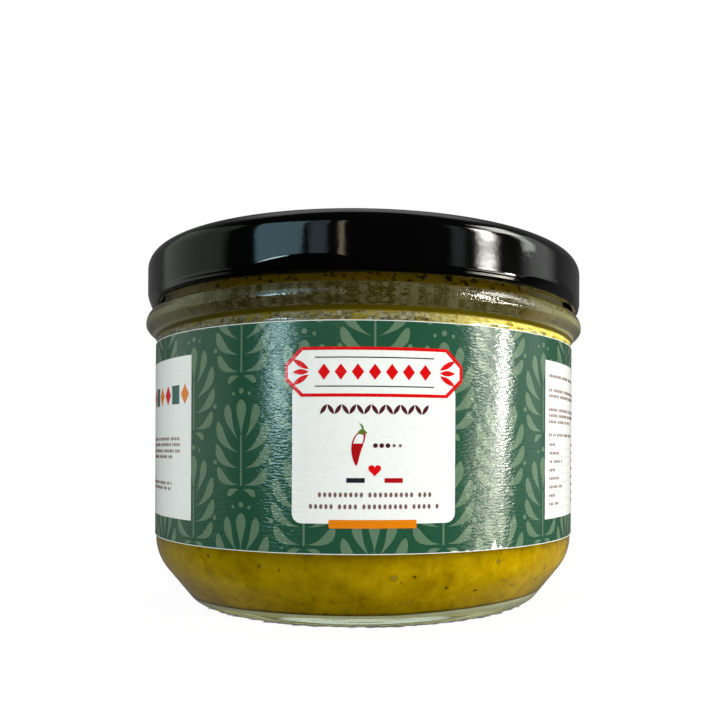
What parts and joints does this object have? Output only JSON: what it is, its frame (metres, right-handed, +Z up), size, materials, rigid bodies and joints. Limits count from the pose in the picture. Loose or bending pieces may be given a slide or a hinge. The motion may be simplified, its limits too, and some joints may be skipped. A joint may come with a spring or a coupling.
{
  "type": "jar of guacamole",
  "caption": "Squat glass jar of guacamole with a gloss black twist-off lid and a patterned green paper label wrapped round its straight side.",
  "frame": {"origin": "on the ground under the middle of the jar's base", "axes": "+Z up through the middle of the lid, -Y out of the middle of the label's front"},
  "size_m": [0.0866, 0.0866, 0.066],
  "materials": {
    "jar_glass": "polished",
    "guacamole": "satin",
    "label_paper": "satin",
    "lid_lacquer": "gloss"
  },
  "bodies": {
    "root": {"glass_jar": "jar_glass", "guacamole": "guacamole", "label": "label_paper", "lid": "lid_lacquer"}
  },
  "joints": []
}
